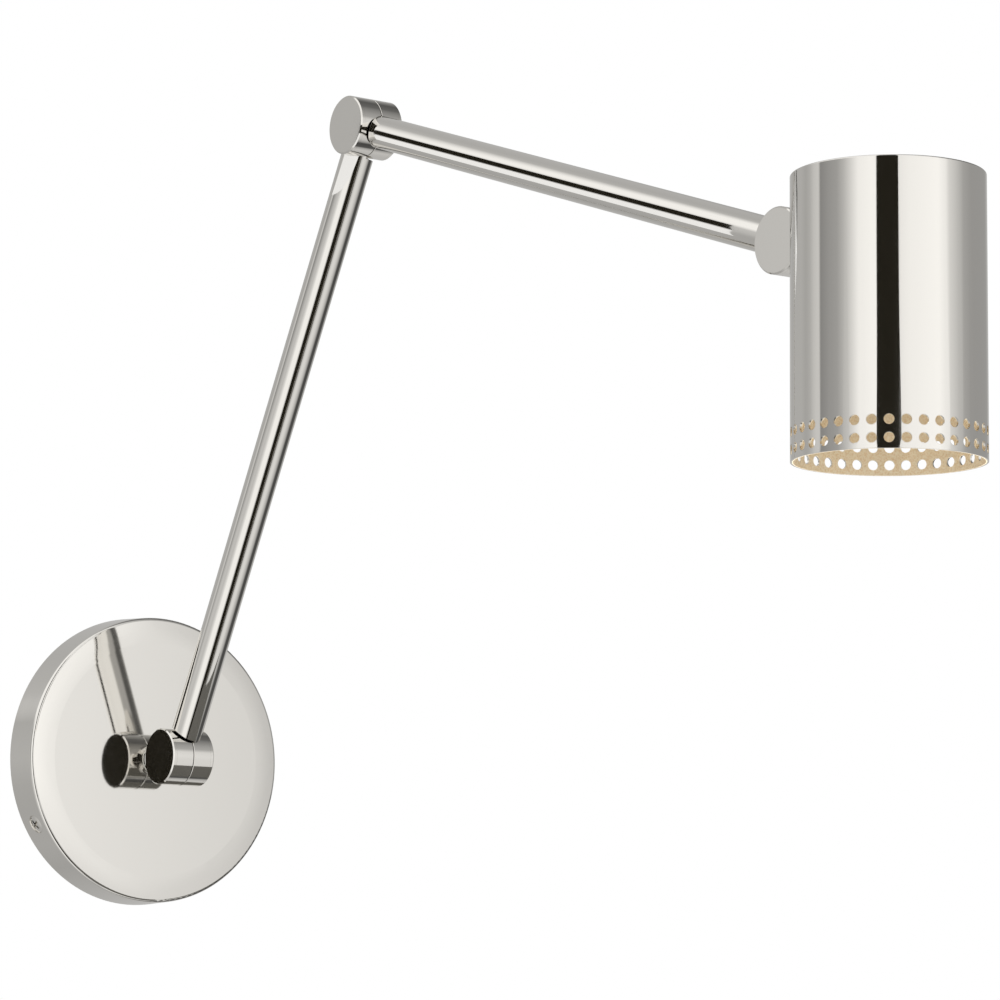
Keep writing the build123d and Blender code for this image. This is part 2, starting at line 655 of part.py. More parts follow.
def bulb_base():
    """Screw base of the bulb, with a rounded thread form and a contact tip."""
    bottom = BRACKET_TOP - BRACKET_THICKNESS - HOLDER_LENGTH
    tip = bottom + BULB_BASE_LENGTH - HOLDER_GAP
    shell_top = tip - BULB_TIP
    outline = [(0, bottom), (BULB_BASE_RADIUS, bottom)]
    turns = int((shell_top - bottom) / BULB_THREAD_PITCH)
    for turn in range(turns):
        crest = bottom + (turn + 0.5) * BULB_THREAD_PITCH
        outline.append((BULB_BASE_RADIUS - BULB_THREAD_DEPTH, crest))
        outline.append((BULB_BASE_RADIUS, crest + BULB_THREAD_PITCH / 2))
    outline += [(BULB_TIP, shell_top), (BULB_TIP, tip), (0, tip)]
    return Pos(*SHADE_AXIS) * turned_about_z(outline)


def glass_outline(inset):
    """Half outline of the bulb's glass, from its neck down to its round tip."""
    neck_top = BRACKET_TOP - BRACKET_THICKNESS - HOLDER_LENGTH
    neck = BULB_BASE_RADIUS - BULB_THREAD_DEPTH - inset
    radius = BULB_RADIUS - inset
    shoulder = neck_top - BULB_RADIUS
    tip_centre = neck_top - BULB_LENGTH + BULB_RADIUS
    bend = Spline((neck, neck_top), (radius, shoulder), tangents=((0, -1), (0, -1)))
    side = Line((radius, shoulder), (radius, tip_centre))
    tip = RadiusArc((radius, tip_centre), (0, tip_centre - radius), radius)
    middle = Line(tip @ 1, (0, neck_top))
    return make_face([Line((0, neck_top), (neck, neck_top)), bend, side, tip, middle])


def bulb_glass():
    """Frosted tubular envelope, a thin shell open where it meets its base."""
    outer = revolve(Plane.XZ * glass_outline(0), axis=Axis.Z)
    inner = revolve(Plane.XZ * glass_outline(GLASS_WALL), axis=Axis.Z)
    return Pos(*SHADE_AXIS) * (outer - inner)


# ---- assembly ----
def all_pieces():
    """Every piece by node name, each placed in the sconce's own frame."""
    neck_member = (WALLWARD, NECK_SPIGOT_RADIUS, DRUM_RADIUS + NECK_SOCKET_DEPTH - BORE_CLEAR)
    stud_end = INNER_WALL_REACH + SADDLE_THICKNESS + BRACKET_THICKNESS + SHADE_NUT + HOLDER_STUD_PROUD

    def arm_member(way):
        return (way, ARM_SPIGOT_RADIUS, SPIGOT_REACH)

    pieces = {
        "mounting_plate": mounting_plate(),
        "canopy": canopy(),
        "canopy_screws": canopy_screws(),
        "ground_screw": ground_screw(),
        "swivel_bush": swivel_bush(),
        "swivel_stop_pin": swivel_stop_pin(),
        "swivel_neck": swivel_neck(),
        "swivel_friction_washer": swivel_friction_washer(),
        "swivel_stop_washer": swivel_stop_washer(),
        "swivel_spring_washer": swivel_spring_washer(),
        "swivel_nut": swivel_nut(),
        "lower_arm_tube": arm_tube(BASE_PIVOT, ELBOW_PIVOT),
        "lower_arm_leads": arm_leads(BASE_PIVOT, ELBOW_PIVOT),
        "upper_arm_tube": arm_tube(ELBOW_PIVOT, HEAD_PIVOT),
        "upper_arm_leads": arm_leads(ELBOW_PIVOT, HEAD_PIVOT),
        "shade": shade(),
        "shade_collar": shade_collar(),
        "shade_saddle_washer": saddle_washer(),
        "shade_nut": shade_nut(),
        "lamp_bracket": lamp_bracket(),
        "lampholder": lampholder(),
        "lampholder_stud": holder_stud(),
        "lampholder_nut": holder_nut(),
        "bulb_base": bulb_base(),
        "bulb_glass": bulb_glass(),
    }
    lower, upper = arm_member(LOWER_WAY), arm_member(UPPER_WAY)
    pieces |= knuckle("base", BASE_PIVOT, neck_member, lower, LOWER_ARM_TRAVEL)
    pieces |= knuckle("elbow", ELBOW_PIVOT, arm_member(LOWER_WAY * -1), upper, ELBOW_TRAVEL)
    head_member = (OUTWARD, SHADE_STUD_RADIUS, stud_end)
    pieces |= knuckle("head", HEAD_PIVOT, arm_member(UPPER_WAY * -1), head_member, HEAD_TRAVEL)
    return pieces


os.makedirs("parts", exist_ok=True)
for name, shape in all_pieces().items():
    export_step(shape, f"parts/{name}.step")
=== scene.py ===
# %% [markdown]
# # A swing arm wall sconce in polished nickel
#
# The CAD model already holds every part of this lamp at its true size: the canopy on the wall,
# the neck that swivels in it, two tube arms, three barrel knuckles and a pierced cylinder
# shade. Blender's job is the look. Polished metal has hardly any colour of its own, so most
# of the work is in two places: the fine detail of each finish, and the studio it mirrors.
#
# The first step loads the CAD model as a frame that isn't moved or changed.

# %% Load the frame
import math

import bmesh
import bpy
from mathutils import Matrix, Vector


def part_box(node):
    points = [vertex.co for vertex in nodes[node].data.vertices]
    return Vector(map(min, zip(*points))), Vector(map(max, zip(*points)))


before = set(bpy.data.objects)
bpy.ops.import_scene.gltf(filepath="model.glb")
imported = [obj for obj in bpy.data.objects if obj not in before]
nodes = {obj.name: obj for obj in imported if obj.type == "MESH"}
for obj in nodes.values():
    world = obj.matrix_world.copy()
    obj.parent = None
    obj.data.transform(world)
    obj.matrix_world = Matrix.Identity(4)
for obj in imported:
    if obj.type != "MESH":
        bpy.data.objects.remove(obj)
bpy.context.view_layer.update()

# %% [markdown]
# ## Places to work from
#
# Finishes and light are placed from the lamp itself. A knuckle's centre is the middle of its
# friction disc, and the shade's axis is the middle of its box. Asking the frame for these
# keeps the scene right if the CAD model changes.

# %% Read the knuckle centres and the shade's axis
def middle(node):
    """Centre of a node's box."""
    low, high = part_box(node)
    return (Vector(low) + Vector(high)) / 2


base = middle("base_friction_disc")
elbow = middle("elbow_friction_disc")
head = middle("head_friction_disc")
shade_low, shade_high = (Vector(corner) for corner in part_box("shade"))
shade_axis = (shade_low + shade_high) / 2
shade_radius = (shade_high.x - shade_low.x) / 2
print("knuckles at", base, elbow, head)
print("shade axis", shade_axis, "radius", shade_radius)

# %% [markdown]
# ## The camera
#
# The lamp is seen from its lower left, from about a metre and a half away, with a long lens.
# Such a lens keeps the round canopy and the shade close to their true proportions. The camera
# is turned about the vertical, tipped up a little, and hardly rolled.

# %% Place the camera
CAMERA_PLACE = Vector((-0.8307, -1.3939, -0.1042))
CAMERA_YAW = math.radians(36.19)
CAMERA_PITCH = math.radians(7.65)
CAMERA_ROLL = math.radians(0.52)
CAMERA_LENS = 137.7
CAMERA_SIGHT = 100

ahead = Vector(
    (
        math.sin(CAMERA_YAW) * math.cos(CAMERA_PITCH),
        math.cos(CAMERA_YAW) * math.cos(CAMERA_PITCH),
        math.sin(CAMERA_PITCH),
    )
)
level_right = Vector((math.cos(CAMERA_YAW), -math.sin(CAMERA_YAW), 0))
level_up = level_right.cross(ahead)
right = level_right * math.cos(CAMERA_ROLL) + level_up * math.sin(CAMERA_ROLL)
up = level_up * math.cos(CAMERA_ROLL) - level_right * math.sin(CAMERA_ROLL)

camera_data = bpy.data.cameras.new("camera")
camera_data.lens = CAMERA_LENS
camera_data.clip_end = CAMERA_SIGHT
camera = bpy.data.objects.new("camera", camera_data)
bpy.context.scene.collection.objects.link(camera)
aim = Matrix((right, up, -ahead)).transposed().to_4x4()
camera.matrix_world = Matrix.Translation(CAMERA_PLACE) @ aim
bpy.context.scene.camera = camera
bpy.context.scene.view_settings.view_transform = "Standard"
print("camera", CAMERA_LENS, "mm at", tuple(camera.location))

# %% [markdown]
# ## Helpers for node trees
#
# Every finish is a small tree of shader nodes. These helpers add a node with its settings in
# one line and join its sockets, so that each recipe below reads from top to bottom.

# %% Define the node helpers
def add(tree, kind, inputs=(), **settings):
    """Adds a node; inputs pairs a socket with a plain value or with a socket to join to it."""
    node = tree.nodes.new(kind)
    for name, value in settings.items():
        setattr(node, name, value)
    for socket, value in dict(inputs).items():
        if isinstance(value, bpy.types.NodeSocket):
            tree.links.new(value, node.inputs[socket])
        else:
            node.inputs[socket].default_value = value
    return node


def math_node(tree, operation, first, second=0.0, third=0.0):
    """Result of one Math node."""
    return add(tree, "ShaderNodeMath", {0: first, 1: second, 2: third}, operation=operation).outputs[0]


def ramp(tree, factor, stops):
    """Colour from a ramp whose stops are (position, colour), in rising order."""
    node = add(tree, "ShaderNodeValToRGB", {"Fac": factor})
    elements = node.color_ramp.elements
    while len(elements) < len(stops):
        elements.new(1.0)
    for element, (position, colour) in zip(elements, stops):
        element.position = position
        element.color = colour
    return node.outputs["Color"]


def mix_colour(tree, factor, first, second, blend_type="MIX"):
    """One colour mixed with another."""
    sockets = {"Factor": factor, 6: first, 7: second}
    return add(tree, "ShaderNodeMix", sockets, data_type="RGBA", blend_type=blend_type).outputs[2]


def mix_value(tree, factor, first, second):
    """One number mixed with another."""
    return add(tree, "ShaderNodeMix", {"Factor": factor, 2: first, 3: second}).outputs[0]


def rescale(tree, value, low, high, new_low=0.0, new_high=1.0):
    """A value stretched from one range to another and held at the new range's ends."""
    sockets = {0: value, 1: low, 2: high, 3: new_low, 4: new_high}
    return add(tree, "ShaderNodeMapRange", sockets).outputs[0]


def grey(value):
    """A neutral colour with full alpha."""
    return (value, value, value, 1.0)


print("node helpers ready")

# %% [markdown]
# ## The studio
#
# A mirror shows the room, so the room is designed. Polished metal looks its best among big
# white panels with grey and black gaps between them: the gaps draw the dark lines that make
# a tube look round. The sky here plays the panels. Three rings of them stand above
# one another, low, level and high, and each is a ramp of brightness over the compass bearing.
# Bearing 0 is straight out of the wall and 90 is to the right. The camera sees plain white.

# %% Lay out the three rings
LOW_RING = [
    (-180, 0.42),
    (-165, 0.46),
    (-150, 0.45),
    (-135, 0.52),
    (-118, 0.66),
    (-94, 0.62),
    (-83, 0.80),
    (-72, 1.08),
    (-46, 1.08),
    (-42, 0.62),
    (-30, 0.60),
    (5, 0.60),
    (18, 0.84),
    (33, 0.82),
    (44, 0.74),
    (56, 0.58),
    (65, 0.36),
    (74, 0.07),
    (100, 0.10),
    (107, 0.42),
    (122, 0.64),
    (150, 0.50),
    (165, 0.46),
    (180, 0.42),
]
LEVEL_RING = [
    (-180, 0.49),
    (-165, 0.50),
    (-154, 0.45),
    (-146, 0.51),
    (-139, 0.64),
    (-131, 0.70),
    (-128, 0.29),
    (-116, 0.36),
    (-104, 0.41),
    (-95, 0.56),
    (-86, 0.80),
    (-77, 1.06),
    (-60, 1.14),
    (-30, 1.0),
    (-18, 1.08),
    (18, 1.16),
    (28.5, 1.02),
    (33, 0.80),
    (43, 0.66),
    (56, 0.44),
    (70, 0.37),
    (111, 0.36),
    (128, 0.55),
    (150, 0.52),
    (165, 0.45),
    (180, 0.49),
]
HIGH_RING = [
    (-180, 0.49),
    (-165, 0.52),
    (-158, 0.55),
    (-151, 0.80),
    (-144, 1.10),
    (-100, 1.10),
    (20, 0.90),
    (33, 0.50),
    (48, 0.32),
    (72, 0.15),
    (110, 0.11),
    (130, 0.25),
    (144, 0.50),
    (180, 0.49),
]
LOW_TO_LEVEL = (-10, 2)
LEVEL_TO_HIGH = (17, 27)
print("panels at", len(LOW_RING) + len(LEVEL_RING) + len(HIGH_RING), "bearings")

# %% Build the panelled surroundings
WARM_GREY = (1.0, 0.99, 0.97, 1.0)
BRIGHTEST = 1.2

world = bpy.data.worlds.new("studio")
world.use_nodes = True
bpy.context.scene.world = world
sky = world.node_tree
sky.nodes.clear()
direction = add(sky, "ShaderNodeTexCoord").outputs["Generated"]
east, north, rise = add(sky, "ShaderNodeSeparateXYZ", {0: direction}).outputs
towards_room = math_node(sky, "MULTIPLY", north, -1.0)
bearing = math_node(sky, "ARCTAN2", east, towards_room)
turn = math_node(sky, "ADD", math_node(sky, "DIVIDE", bearing, 2 * math.pi), 0.5)


def ring_of_panels(ring):
    """Brightness round the compass, from (bearing in degrees, brightness) pairs."""
    stops = [((angle + 180) / 360, grey(value / BRIGHTEST)) for angle, value in ring]
    return ramp(sky, turn, stops)


def stacked(lower, upper, heights):
    """The lower ring, blended into the upper one between two heights in degrees."""
    first, last = (math.sin(math.radians(angle)) for angle in heights)
    return mix_colour(sky, rescale(sky, rise, first, last), lower, upper)


walls = stacked(ring_of_panels(LOW_RING), ring_of_panels(LEVEL_RING), LOW_TO_LEVEL)
walls = stacked(walls, ring_of_panels(HIGH_RING), LEVEL_TO_HIGH)
warmed = mix_colour(sky, 1.0, walls, WARM_GREY, "MULTIPLY")
mirrored = add(sky, "ShaderNodeBackground", {"Color": warmed, "Strength": BRIGHTEST})
seen = add(sky, "ShaderNodeBackground", {"Color": grey(1.0), "Strength": 1.0})
to_camera = add(sky, "ShaderNodeLightPath").outputs["Is Camera Ray"]
both = add(sky, "ShaderNodeMixShader", {"Fac": to_camera, 1: mirrored.outputs[0], 2: seen.outputs[0]})
add(sky, "ShaderNodeOutputWorld", {"Surface": both.outputs[0]})
print("surroundings built with", len(sky.nodes), "nodes")

# %% [markdown]
# ## Floor and cards
#
# The floor is a plain pale sheet well below the lamp. Cards hung round the set give the metal
# its sharpest lines: a tall dark one behind the camera, which the shade mirrors, two low ones
# for the lower arm, one below the lowest knuckle, a small one for that knuckle's end, and a
# dark and a lit strip beside the upper arm. The upright cards are given as a point of the
# lamp sees them, by the range of bearings and heights they fill and their distance. Cards
# don't show to the camera and cast no shadows.

# %% Define cards by where they are seen
def matt(name, colour):
    """Plain matt material for studio pieces."""
    material = bpy.data.materials.new(name)
    material.use_nodes = True
    shader = material.node_tree.nodes["Principled BSDF"]
    shader.inputs["Base Color"].default_value = (*colour, 1.0)
    shader.inputs["Roughness"].default_value = 1.0
    shader.inputs["Specular IOR Level"].default_value = 0.0
    return material


def rectangle(name, centre, across, along, material):
    """A flat sheet; across and along are half its sides as vectors."""
    work = bmesh.new()
    bmesh.ops.create_grid(work, x_segments=1, y_segments=1, size=1.0)
    to_place = Matrix((across, along, across.cross(along).normalized())).transposed().to_4x4()
    bmesh.ops.transform(work, matrix=Matrix.Translation(centre) @ to_place, verts=work.verts)
    mesh = bpy.data.meshes.new(name)
    work.to_mesh(mesh)
    work.free()
    mesh.materials.append(material)
    sheet = bpy.data.objects.new(name, mesh)
    bpy.context.scene.collection.objects.link(sheet)
    return sheet


def way_to(bearing_degrees, height_degrees):
    """Direction at a bearing from straight out of the wall, towards +X, and a height."""
    bearing_angle, height_angle = math.radians(bearing_degrees), math.radians(height_degrees)
    outwards = Vector((math.sin(bearing_angle), -math.cos(bearing_angle), 0)) * math.cos(height_angle)
    return outwards + Vector((0, 0, math.sin(height_angle)))


def hide_card(card):
    """A card shows in mirrors only."""
    card.visible_camera = False
    card.visible_diffuse = False
    card.visible_shadow = False


def hang_card(name, seen_from, bearings, heights, distance, material):
    """An upright card that fills a range of bearings and heights, seen from a point."""
    facing = way_to(sum(bearings) / 2, 0)
    half_width = distance * math.tan(math.radians((bearings[1] - bearings[0]) / 2))
    low, high = (distance * math.tan(math.radians(angle)) for angle in heights)
    centre = seen_from + facing * distance + Vector((0, 0, (low + high) / 2))
    across = facing.cross(Vector((0, 0, 1))) * half_width
    hide_card(rectangle(name, centre, across, Vector((0, 0, (high - low) / 2)), material))


print("card helpers ready")

# %% Lay the floor
FLOOR_DROP = 1.5
FLOOR_SIZE = 16.0

floor_centre = Vector((0, -FLOOR_SIZE / 4, -FLOOR_DROP))
half = FLOOR_SIZE / 2
pale = matt("pale_floor", (0.86, 0.86, 0.85))
floor = rectangle("floor", floor_centre, Vector((half, 0, 0)), Vector((0, half, 0)), pale)
floor.visible_glossy = False
print("floor at", floor_centre.z)

# %% Hang the cards that stand by themselves
CAMERA_CARD_DISTANCE = 1.4
LOW_CARD_DISTANCE = 1.6
LOW_GREY_CARD_DISTANCE = 1.62
LOW_CARD_HEIGHTS = (-58, -24)
KNUCKLE_CARD_DISTANCE = 0.7
BELOW_BASE = Vector((0.05, -0.075, -0.10))
BELOW_BASE_ACROSS = Vector((0.09, 0, 0))
BELOW_BASE_ALONG = Vector((0, 0.065, 0))

black = matt("black_card", (0.0, 0.0, 0.0))
charcoal = matt("charcoal_card", (0.035, 0.031, 0.022))
grey_card = matt("grey_card", (0.33, 0.32, 0.30))
dark_grey = matt("dark_grey_card", (0.22, 0.215, 0.20))
lower_middle = base.lerp(elbow, 0.5)
hang_card("camera_card", shade_axis, (-55.5, -30.5), (-25, 60), CAMERA_CARD_DISTANCE, charcoal)
hang_card("low_card", lower_middle, (-37, -11), LOW_CARD_HEIGHTS, LOW_CARD_DISTANCE, charcoal)
hang_card("low_grey_card", lower_middle, (-11, 2), LOW_CARD_HEIGHTS, LOW_GREY_CARD_DISTANCE, grey_card)
hide_card(rectangle("base_low_card", base + BELOW_BASE, BELOW_BASE_ACROSS, BELOW_BASE_ALONG, dark_grey))
hang_card("knuckle_card", base, (-151.4, -146.6), (1.4, 6.2), KNUCKLE_CARD_DISTANCE, black)
print("cards hung round", tuple(lower_middle))

# %% Hang the two strips beside the upper arm
# Seen end on, a strip fills a range of angles round the arm: 0 is straight to the left and
# 90 is the arm's upper side. The camera sees the arm at a slant, so what the arm mirrors at
# one place lies nearer the elbow, and the strips are slid that way.
STRIP_DISTANCE = 0.04
STRIP_SLIDE = 0.056
STRIP_ENDS = (0.022, 0.262)
arm_way = (head - elbow).normalized()
arm_left = Vector((-1, 0, 0))
arm_upper = arm_left.cross(arm_way)


def round_arm(angle):
    """Direction square to the upper arm, at an angle in degrees round it."""
    return arm_left * math.cos(math.radians(angle)) + arm_upper * math.sin(math.radians(angle))


def arm_strip(name, angles, material):
    """A card parallel to the upper arm that fills a range of angles round it."""
    low, high = (round_arm(angle) * STRIP_DISTANCE for angle in angles)
    middle_along = sum(STRIP_ENDS) / 2 - STRIP_SLIDE
    half_length = (STRIP_ENDS[1] - STRIP_ENDS[0]) / 2
    centre = elbow + arm_way * middle_along + (low + high) / 2
    hide_card(rectangle(name, centre, arm_way * half_length, (high - low) / 2, material))


lit_card = bpy.data.materials.new("lit_card")
lit_card.use_nodes = True
lit_shader = lit_card.node_tree.nodes["Principled BSDF"]
lit_shader.inputs["Base Color"].default_value = grey(0.0)
lit_shader.inputs["Emission Color"].default_value = grey(1.0)
lit_shader.inputs["Emission Strength"].default_value = 1.0
arm_strip("arm_black_strip", (-16, 10), charcoal)
arm_strip("arm_lit_strip", (-50, -20), lit_card)
print("strips beside the upper arm")

# %% [markdown]
# ## A light under the shade
#
# The shade is deep and closed on top, so little of the studio reaches its inside. A small
# soft light below its mouth shines up into it and brings out the gold.

# %% Add the light
UNDER_LIGHT_DROP = 0.30
UNDER_LIGHT_SIZE = 0.16
UNDER_LIGHT_WATTS = 1.05

under_data = bpy.data.lights.new("under_light", "AREA")
under_data.shape = "DISK"
under_data.size = UNDER_LIGHT_SIZE
under_data.energy = UNDER_LIGHT_WATTS
under_light = bpy.data.objects.new("under_light", under_data)
bpy.context.scene.collection.objects.link(under_light)
under_light.location = shade_axis - Vector((0, 0, UNDER_LIGHT_DROP))
under_light.rotation_euler = (math.pi, 0, 0)
under_light.visible_camera = False
under_light.visible_glossy = False
print("light below the shade, at", tuple(under_light.location))

# %% [markdown]
# ## Shared effects
#
# Real polished metal isn't perfect. It carries a faint haze where it was buffed, a few
# hairlines, and slightly duller edges where the plating was rubbed thin. Each of these is a
# node group, so that every nickel part can use it at its own scale. A group only gives
# masks and heights; the shader itself stays in the material.

# %% Build the buffing haze group
CLOUD_RANGE = (0.35, 0.75)
SMEAR_RANGE = (0.5, 0.7)
SMEAR_TO_CLOUD = 0.3


def new_group(name, inputs, outputs):
    """An empty group; inputs are (name, default), with None for a vector."""
    group = bpy.data.node_groups.new(name, "ShaderNodeTree")
    for socket_name, default in inputs:
        kind = "NodeSocketVector" if default is None else "NodeSocketFloat"
        socket = group.interface.new_socket(socket_name, in_out="INPUT", socket_type=kind)
        if default is not None:
            socket.default_value = default
    for socket_name in outputs:
        group.interface.new_socket(socket_name, in_out="OUTPUT", socket_type="NodeSocketFloat")
    return group, group.nodes.new("NodeGroupInput"), group.nodes.new("NodeGroupOutput")


haze, given, result = new_group("buffing_haze", [("Vector", None), ("Scale", 40.0)], ["Haze", "Smear"])
cloud = add(
    haze,
    "ShaderNodeTexNoise",
    {"Vector": given.outputs["Vector"], "Scale": given.outputs["Scale"], "Detail": 4.0, "Roughness": 0.55},
)
smear_scale = math_node(haze, "MULTIPLY", given.outputs["Scale"], SMEAR_TO_CLOUD)
smear = add(
    haze,
    "ShaderNodeTexNoise",
    {"Vector": given.outputs["Vector"], "Scale": smear_scale, "Detail": 2.0, "Distortion": 1.2},
)
haze.links.new(rescale(haze, cloud.outputs[0], *CLOUD_RANGE), result.inputs["Haze"])
haze.links.new(rescale(haze, smear.outputs[0], *SMEAR_RANGE), result.inputs["Smear"])
print("group", haze.name)

# %% Build the hairline group
LINE_RANGE = (0.52, 0.72)

hairlines, given, result = new_group(
    "hairlines", [("Vector", None), ("Along", 8.0), ("Across", 900.0)], ["Lines", "Height"]
)
stretch = add(hairlines, "ShaderNodeCombineXYZ")
for axis in "XY":
    hairlines.links.new(given.outputs["Across"], stretch.inputs[axis])
hairlines.links.new(given.outputs["Along"], stretch.inputs["Z"])
stretched = add(
    hairlines,
    "ShaderNodeVectorMath",
    {0: given.outputs["Vector"], 1: stretch.outputs[0]},
    operation="MULTIPLY",
)
lines = add(
    hairlines,
    "ShaderNodeTexNoise",
    {"Vector": stretched.outputs[0], "Scale": 1.0, "Detail": 3.0, "Roughness": 0.6},
)
hairlines.links.new(rescale(hairlines, lines.outputs[0], *LINE_RANGE), result.inputs["Lines"])
hairlines.links.new(lines.outputs[0], result.inputs["Height"])
print("group", hairlines.name)

# %% Build the worn edge group
FLAT_TO_ROUNDED = (0.995, 0.9)
BEVEL_SAMPLES = 4

edges, given, result = new_group("worn_edges", [("Radius", 0.0006)], ["Edge"])
bevel = add(edges, "ShaderNodeBevel", {"Radius": given.outputs["Radius"]}, samples=BEVEL_SAMPLES)
face_normal = add(edges, "ShaderNodeNewGeometry").outputs["Normal"]
both_normals = {0: bevel.outputs[0], 1: face_normal}
agreement = add(edges, "ShaderNodeVectorMath", both_normals, operation="DOT_PRODUCT").outputs["Value"]
edges.links.new(rescale(edges, agreement, *FLAT_TO_ROUNDED), result.inputs["Edge"])
print("group", edges.name)

# %% [markdown]
# ## Starting a material
#
# Each finish starts from one Principled shader. Patterns are read from Object coordinates,
# which are true metres on the lamp, so a hairline has the same width on every part. The
# coordinates are first moved to the part's centre and turned so that Z runs along it.

# %% Define the material helpers
def group_node(tree, group, inputs):
    """A group placed in a material with its own values."""
    return add(tree, "ShaderNodeGroup", inputs, node_tree=group)


def new_material(name):
    """A material with one Principled shader; returns the material, its tree and the shader."""
    material = bpy.data.materials.new(name)
    material.use_nodes = True
    tree = material.node_tree
    return material, tree, tree.nodes["Principled BSDF"]


def part_vector(tree, centre=(0, 0, 0), turn=(0, 0, 0)):
    """Object coordinates moved to a part's centre and turned so that Z runs along it."""
    place = add(tree, "ShaderNodeTexCoord").outputs["Object"]
    moved = add(tree, "ShaderNodeVectorMath", {0: place, 1: centre}, operation="SUBTRACT")
    sockets = {"Vector": moved.outputs[0], "Rotation": turn}
    return add(tree, "ShaderNodeMapping", sockets, vector_type="TEXTURE").outputs[0]


print("material helpers ready")

# %% [markdown]
# ## Which way the lines run
#
# The tubes were buffed lengthwise, so their hairlines follow each tube. The canopy, the caps
# and the drums were turned on a lathe and buffed while spinning, so theirs are circles. A
# circle pattern needs the distance from the part's own axis. That distance and the height
# along the axis stay the same round a circle, so noise read from them draws rings.

# %% Add ring coordinates
def ring_vector(tree, centre, turn):
    """Coordinates that draw rings round the turned Z axis: radius, height and a slow drift."""
    placed = add(tree, "ShaderNodeSeparateXYZ", {0: part_vector(tree, centre, turn)})
    x, y, z = placed.outputs
    flat = add(tree, "ShaderNodeCombineXYZ", {0: x, 1: y})
    radius = add(tree, "ShaderNodeVectorMath", {0: flat.outputs[0]}, operation="LENGTH").outputs["Value"]
    return add(tree, "ShaderNodeCombineXYZ", {0: radius, 1: z, 2: x}).outputs[0]


def turn_along(way):
    """Rotation that lays Z along a direction, as a Mapping node wants it."""
    return tuple(way.to_track_quat("Z", "Y").to_euler())


ALONG_X = turn_along(Vector((1, 0, 0)))
ALONG_Y = turn_along(Vector((0, 1, 0)))
print("turns", ALONG_X, ALONG_Y)

# %% [markdown]
# ## Polished nickel
#
# Nickel plate is a slightly warm silver. On each part the buffing left lines that run its own
# way: along a tube, round a spun canopy, up the shade. The recipe takes the direction as a
# Mapping rotation, so the lines lie along the part. The haze raises the roughness by a few
# hundredths, and the worn edge is a touch darker and duller.

# %% Define the nickel recipe
NICKEL = (0.80, 0.785, 0.755, 1.0)
NICKEL_WORN = (0.66, 0.63, 0.58, 1.0)
LINES_ALONG = 8.0
LINES_ACROSS = 900.0
LINE_RELIEF = {"Strength": 0.02, "Distance": 0.00002}
WORN_RADIUS = 0.0005
WORN_TINT = 0.55
HAZE_DULLS = 0.022
SMEAR_DULLS = 0.02
LINE_DULLS = 0.03
EDGE_DULLS = 0.12


def nickel(name, centre=(0, 0, 0), turn=(0, 0, 0), rings=False, smooth=0.035, haze_scale=45.0):
    """Buffed nickel plate; hairlines run along the turned Z axis, or in rings round it."""
    material, tree, shader = new_material(name)
    vector = part_vector(tree, centre, turn)
    line_vector = ring_vector(tree, centre, turn) if rings else vector
    cloudy = group_node(tree, haze, {"Vector": vector, "Scale": haze_scale})
    line_sockets = {"Vector": line_vector, "Along": LINES_ALONG, "Across": LINES_ACROSS}
    lined = group_node(tree, hairlines, line_sockets)
    worn = group_node(tree, edges, {"Radius": WORN_RADIUS}).outputs["Edge"]
    tint = math_node(tree, "MULTIPLY", worn, WORN_TINT)
    tree.links.new(mix_colour(tree, tint, NICKEL, NICKEL_WORN), shader.inputs["Base Color"])
    roughness = math_node(tree, "MULTIPLY", cloudy.outputs["Haze"], HAZE_DULLS)
    roughness = math_node(tree, "MULTIPLY_ADD", cloudy.outputs["Smear"], SMEAR_DULLS, roughness)
    roughness = math_node(tree, "MULTIPLY_ADD", lined.outputs["Lines"], LINE_DULLS, roughness)
    roughness = math_node(tree, "MULTIPLY_ADD", worn, EDGE_DULLS, roughness)
    roughness = math_node(tree, "ADD", roughness, smooth)
    tree.links.new(roughness, shader.inputs["Roughness"])
    relief = add(tree, "ShaderNodeBump", {"Height": lined.outputs["Height"], **LINE_RELIEF})
    tree.links.new(relief.outputs[0], shader.inputs["Normal"])
    shader.inputs["Metallic"].default_value = 1.0
    return material


print("nickel", NICKEL[:3])

# %% [markdown]
# ## One nickel for each part
#
# The recipe is used again for each part that was buffed its own way: rings about X for the
# drums and caps of each knuckle, rings about Y for the canopy and the neck, and lines along
# each arm's tube.

# %% Make the nickel finishes
canopy_nickel = nickel("canopy_nickel", turn=ALONG_Y, rings=True, smooth=0.045, haze_scale=30.0)
neck_nickel = nickel("neck_nickel", turn=ALONG_Y, rings=True)
lower_nickel = nickel("lower_arm_nickel", centre=base, turn=turn_along(elbow - base))
upper_nickel = nickel("upper_arm_nickel", centre=elbow, turn=turn_along(head - elbow))
knuckle_nickels = {
    name: nickel(f"{name}_knuckle_nickel", centre=place, turn=ALONG_X, rings=True)
    for name, place in (("base", base), ("elbow", elbow), ("head", head))
}
print("nickel finishes", [material.name for material in bpy.data.materials])

# %% [markdown]
# ## The shade, nickel outside and gold inside
#
# The shade is one sheet of metal, polished outside and coated inside in a warm gold that is
# finely speckled. One material holds both. A mask tells the inside from the outside: a point
# is inside where it is nearer the axis than about the middle of the wall and below about the
# middle of the top. The same mask mixes colour, roughness and metalness.

